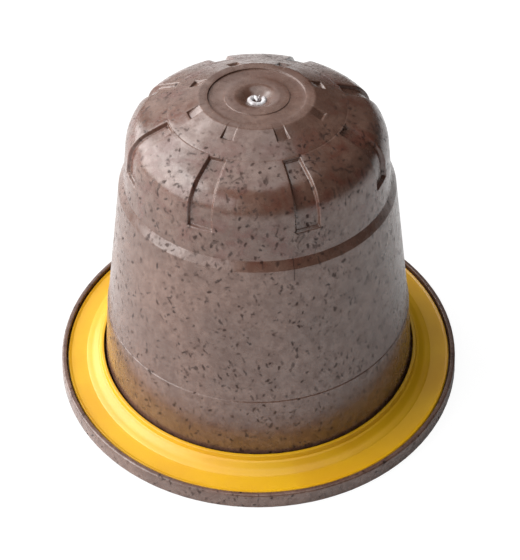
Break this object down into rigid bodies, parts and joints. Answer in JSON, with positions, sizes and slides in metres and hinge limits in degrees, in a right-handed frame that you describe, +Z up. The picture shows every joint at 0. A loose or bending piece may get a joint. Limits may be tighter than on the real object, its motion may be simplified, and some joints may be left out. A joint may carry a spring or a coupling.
{
  "type": "coffee pod",
  "caption": "Filled single-serve coffee pod: a drafted cup with a notched dome, a lipped flange, a stepped seal ring and a flat lid membrane underneath.",
  "frame": {"origin": "centre of the underside of the flange's rim, on the axis of the pod", "axes": "+Z up along the pod's axis, from the lid membrane to the dome; -Y towards the viewer in the picture; +X to the right"},
  "size_m": [0.037, 0.037, 0.0286],
  "materials": {
    "moulding": "semi-gloss marbled grey-brown plant-based moulding with dark flecks",
    "seal": "satin golden yellow",
    "film": "plain pale sealing film"
  },
  "bodies": {
    "root": {"capsule": "moulding", "seal_ring": "seal", "lid_membrane": "film"}
  },
  "joints": []
}
